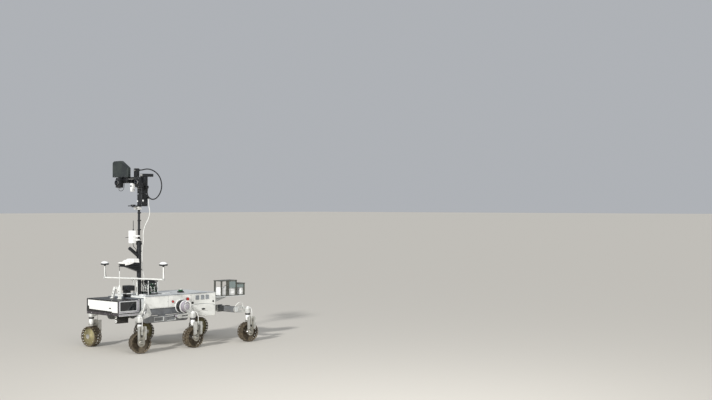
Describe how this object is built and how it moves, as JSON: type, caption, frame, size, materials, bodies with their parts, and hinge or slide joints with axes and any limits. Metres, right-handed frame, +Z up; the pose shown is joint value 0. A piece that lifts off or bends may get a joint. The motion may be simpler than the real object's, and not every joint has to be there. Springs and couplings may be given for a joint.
{
  "type": "planetary rover prototype",
  "caption": "Field prototype of a planetary rover with steered drum wheels on bogies, a flat body, an instrument bay in front and a mast with a pan and tilt camera head",
  "frame": {"origin": "on the ground under the middle of the whole vehicle", "axes": "+X forward, +Y the rover's left, +Z up"},
  "size_m": [1.9023, 1.236, 2.176],
  "materials": {
    "white_paint": "satin",
    "grey_paint": "satin",
    "white_cloth": "matte",
    "bare_aluminium": "satin",
    "black_anodised": "satin",
    "wheel_steel": "satin",
    "board_white": "satin",
    "circuit_green": "matte",
    "tinted_glass": "gloss",
    "button_red": "gloss",
    "black_cable": "matte",
    "white_cable": "matte"
  },
  "bodies": {
    "chassis": {"antenna_frame": "bare_aluminium", "antennas": "white_paint", "body_shell": "white_paint", "bogie_rear": "grey_paint", "circuit_boards": "circuit_green", "deck_bracket": "black_anodised", "deck_camera": "black_anodised", "deck_plate": "white_paint", "electronics_frame": "bare_aluminium", "front_board": "board_white", "front_box": "black_anodised", "front_sensor": "black_anodised", "lower_bay": "grey_paint", "mast_cable": "white_cable", "mast_lower": "black_anodised", "mast_radio": "white_paint", "mast_tray": "bare_aluminium", "mast_upper": "bare_aluminium", "pan_base": "white_paint", "rack_frame": "bare_aluminium", "rack_glass": "tinted_glass", "rack_modules": "white_paint", "rear_shelf": "bare_aluminium", "side_bogies": "grey_paint", "side_fittings": "grey_paint", "side_windows": "tinted_glass", "steering_motors": "grey_paint", "stop_buttons": "button_red", "walking_drives": "grey_paint", "weather_cover": "white_cloth", "wheel_brackets": "bare_aluminium"},
    "steer_front_left": {"leg_front_left": "bare_aluminium", "drive_cable_front_left": "black_cable"},
    "roll_front_left": {"wheel_front_left": "wheel_steel"},
    "steer_front_right": {"leg_front_right": "bare_aluminium", "drive_cable_front_right": "black_cable"},
    "roll_front_right": {"wheel_front_right": "wheel_steel"},
    "steer_mid_left": {"leg_mid_left": "bare_aluminium", "drive_cable_mid_left": "black_cable"},
    "roll_mid_left": {"wheel_mid_left": "wheel_steel"},
    "steer_mid_right": {"leg_mid_right": "bare_aluminium", "drive_cable_mid_right": "black_cable"},
    "roll_mid_right": {"wheel_mid_right": "wheel_steel"},
    "steer_rear_left": {"leg_rear_left": "bare_aluminium", "drive_cable_rear_left": "black_cable"},
    "roll_rear_left": {"wheel_rear_left": "wheel_steel"},
    "steer_rear_right": {"leg_rear_right": "bare_aluminium", "drive_cable_rear_right": "black_cable"},
    "roll_rear_right": {"wheel_rear_right": "wheel_steel"},
    "pan": {"pan_body": "white_paint"},
    "tilt": {"camera_bench": "black_anodised", "cameras": "black_anodised", "centre_camera": "black_anodised", "bench_hood": "black_anodised", "head_cable": "black_cable"}
  },
  "joints": [
    {"name": "steer_front_left", "type": "hinge", "parent": "chassis", "child": "steer_front_left", "pos_m": [0.776, 0.473, 0.3], "axis": [0, 0, 1], "range_deg": [-75, 115]},
    {"name": "roll_front_left", "type": "hinge", "parent": "steer_front_left", "child": "roll_front_left", "pos_m": [0.776, 0.473, 0.12], "axis": [0.342, 0.9397, 0], "continuous": true},
    {"name": "steer_front_right", "type": "hinge", "parent": "chassis", "child": "steer_front_right", "pos_m": [0.776, -0.473, 0.3], "axis": [0, 0, 1], "range_deg": [-15, 175]},
    {"name": "roll_front_right", "type": "hinge", "parent": "steer_front_right", "child": "roll_front_right", "pos_m": [0.776, -0.473, 0.12], "axis": [0.9848, 0.1736, 0], "continuous": true},
    {"name": "steer_mid_left", "type": "hinge", "parent": "chassis", "child": "steer_mid_left", "pos_m": [0.021, 0.473, 0.3], "axis": [0, 0, 1], "range_deg": [-95, 95]},
    {"name": "roll_mid_left", "type": "hinge", "parent": "steer_mid_left", "child": "roll_mid_left", "pos_m": [0.021, 0.473, 0.12], "axis": [0, 1, 0], "continuous": true},
    {"name": "steer_mid_right", "type": "hinge", "parent": "chassis", "child": "steer_mid_right", "pos_m": [0.021, -0.473, 0.3], "axis": [0, 0, 1], "range_deg": [-95, 95]},
    {"name": "roll_mid_right", "type": "hinge", "parent": "steer_mid_right", "child": "roll_mid_right", "pos_m": [0.021, -0.473, 0.12], "axis": [0, 1, 0], "continuous": true},
    {"name": "steer_rear_left", "type": "hinge", "parent": "chassis", "child": "steer_rear_left", "pos_m": [-0.827, 0.473, 0.3], "axis": [0, 0, 1], "range_deg": [-84, 106]},
    {"name": "roll_rear_left", "type": "hinge", "parent": "steer_rear_left", "child": "roll_rear_left", "pos_m": [-0.827, 0.473, 0.12], "axis": [0.1908, 0.9816, 0], "continuous": true},
    {"name": "steer_rear_right", "type": "hinge", "parent": "chassis", "child": "steer_rear_right", "pos_m": [-0.827, -0.473, 0.3], "axis": [0, 0, 1], "range_deg": [-95, 95]},
    {"name": "roll_rear_right", "type": "hinge", "parent": "steer_rear_right", "child": "roll_rear_right", "pos_m": [-0.827, -0.473, 0.12], "axis": [0, 1, 0], "continuous": true},
    {"name": "head_pan", "type": "hinge", "parent": "chassis", "child": "pan", "pos_m": [0.391, 0, 1.79], "axis": [0, 0, 1], "range_deg": [-160, 160]},
    {"name": "head_tilt", "type": "hinge", "parent": "pan", "child": "tilt", "pos_m": [0.391, 0, 1.87], "axis": [0, 1, 0], "range_deg": [-30, 30]}
  ]
}
